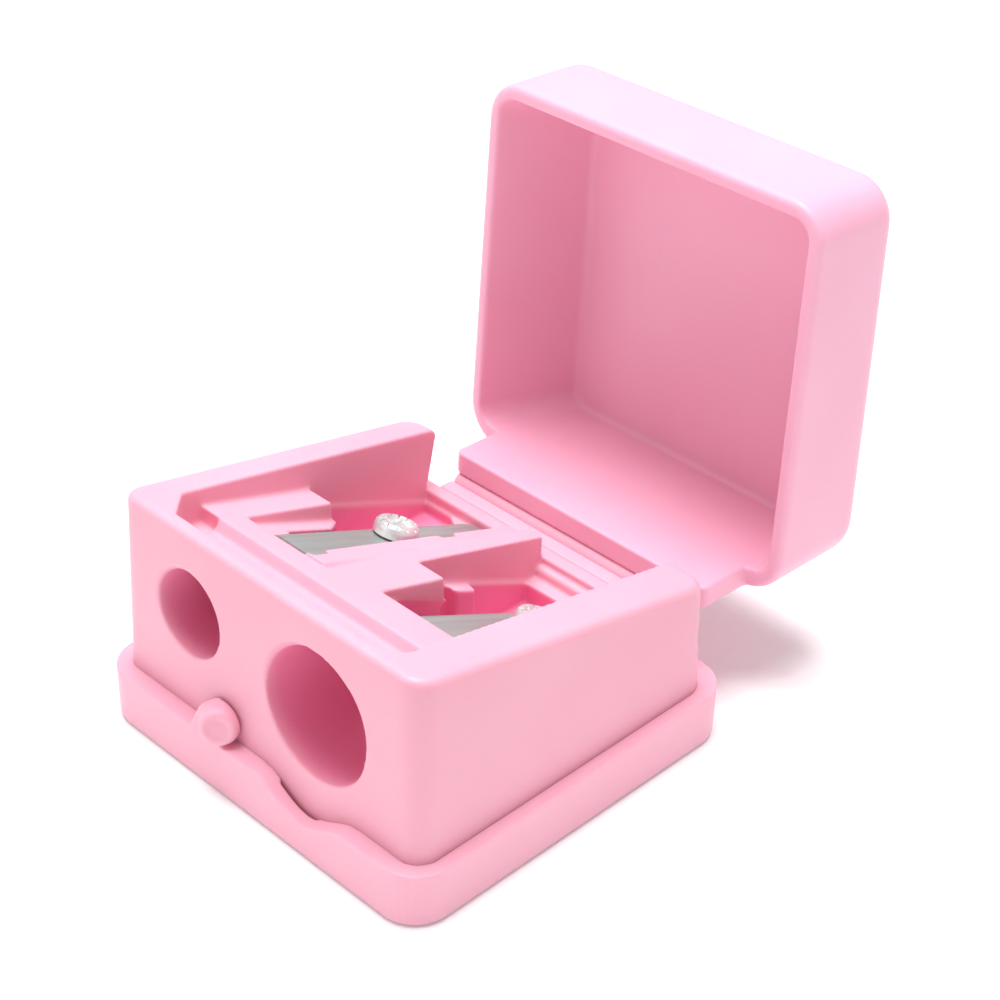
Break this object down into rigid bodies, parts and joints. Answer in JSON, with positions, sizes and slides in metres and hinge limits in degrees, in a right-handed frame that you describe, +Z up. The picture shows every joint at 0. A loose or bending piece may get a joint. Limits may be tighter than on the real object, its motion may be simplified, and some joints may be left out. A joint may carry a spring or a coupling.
{
  "type": "pencil sharpener",
  "caption": "Block sharpener in a shallow tray: a small and a large tilted pencil hole, each with a screwed blade under a hinged box lid.",
  "frame": {"origin": "centre of the flat underside of the tray", "axes": "+Z up, +Y from the front face with the pencil holes to the hinge at the back, +X to the right seen from the front"},
  "size_m": [0.0404, 0.058, 0.0476],
  "materials": {
    "tray_plastic": "satin moulded polypropylene",
    "block_plastic": "satin moulded plastic",
    "lid_plastic": "satin moulded polypropylene",
    "blade_steel": "ground",
    "screw_steel": "bright plated"
  },
  "bodies": {
    "base": {"base_tray": "tray_plastic", "sharpener_block": "block_plastic", "blade_small": "blade_steel", "blade_large": "blade_steel", "screw_small": "screw_steel", "screw_large": "screw_steel", "living_hinge": "lid_plastic"},
    "lid": {"lid": "lid_plastic"}
  },
  "joints": [
    {"name": "lid_hinge", "type": "hinge", "parent": "base", "child": "lid", "pos_m": [0, 0.01884, 0.00981], "axis": [1, 0, 0], "range_deg": [-33, 80.8], "deforming": ["living_hinge"]}
  ]
}
